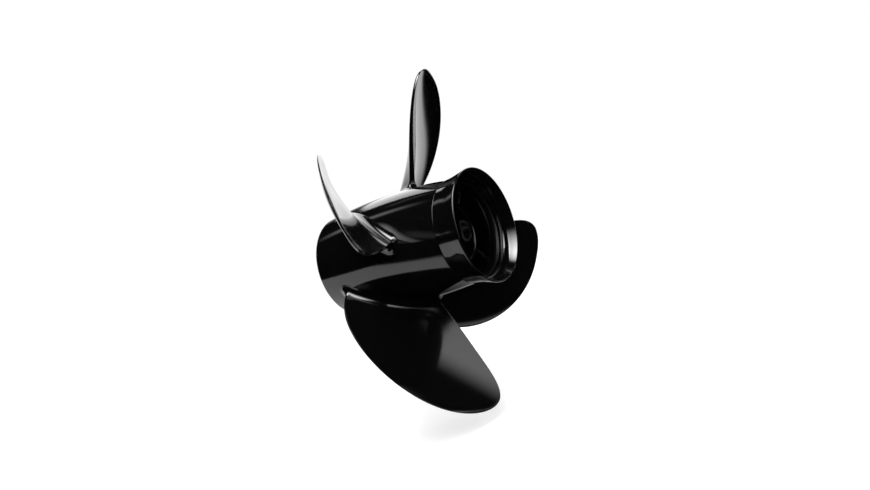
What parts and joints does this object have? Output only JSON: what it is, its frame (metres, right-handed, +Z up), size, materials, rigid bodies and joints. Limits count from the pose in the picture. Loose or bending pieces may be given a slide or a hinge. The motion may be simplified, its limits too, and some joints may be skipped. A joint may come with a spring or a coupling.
{
  "type": "outboard motor propeller",
  "caption": "Black right-hand boat propeller with broad raked blades on a barrel hub that exhausts through a flared ring; cushioned splined drive hub inside.",
  "frame": {"origin": "on the shaft axis, where the thrust washer's conical seat ends and its plain bore begins", "axes": "+Y forward along the shaft to the gearcase, +Z up, +X to starboard; the blades' root lines stand at 45 degrees between X and Z"},
  "size_m": [0.3338, 0.1798, 0.3338],
  "materials": {
    "black_paint": "gloss black enamel on cast aluminium",
    "brass": "machined",
    "rubber": "moulded",
    "stainless": "turned",
    "nylon": "moulded"
  },
  "bodies": {
    "drive_core": {"drive_adapter": "brass", "hub_bushing": "rubber", "thrust_washer": "stainless", "rear_washer": "stainless", "tab_washer": "stainless", "propeller_nut": "stainless", "locking_insert": "nylon"},
    "propeller": {"hub_shell": "black_paint", "inner_barrel": "black_paint", "diffuser_ring": "black_paint", "rib_1": "black_paint", "rib_2": "black_paint", "rib_3": "black_paint", "rib_4": "black_paint", "blade_1": "black_paint", "blade_2": "black_paint", "blade_3": "black_paint", "blade_4": "black_paint"}
  },
  "joints": [
    {"name": "cushion_twist", "type": "hinge", "parent": "drive_core", "child": "propeller", "pos_m": [0, 0, 0], "axis": [0, 1, 0], "range_deg": [-8, 8], "stiffness_Nm_per_rad": 1500}
  ]
}
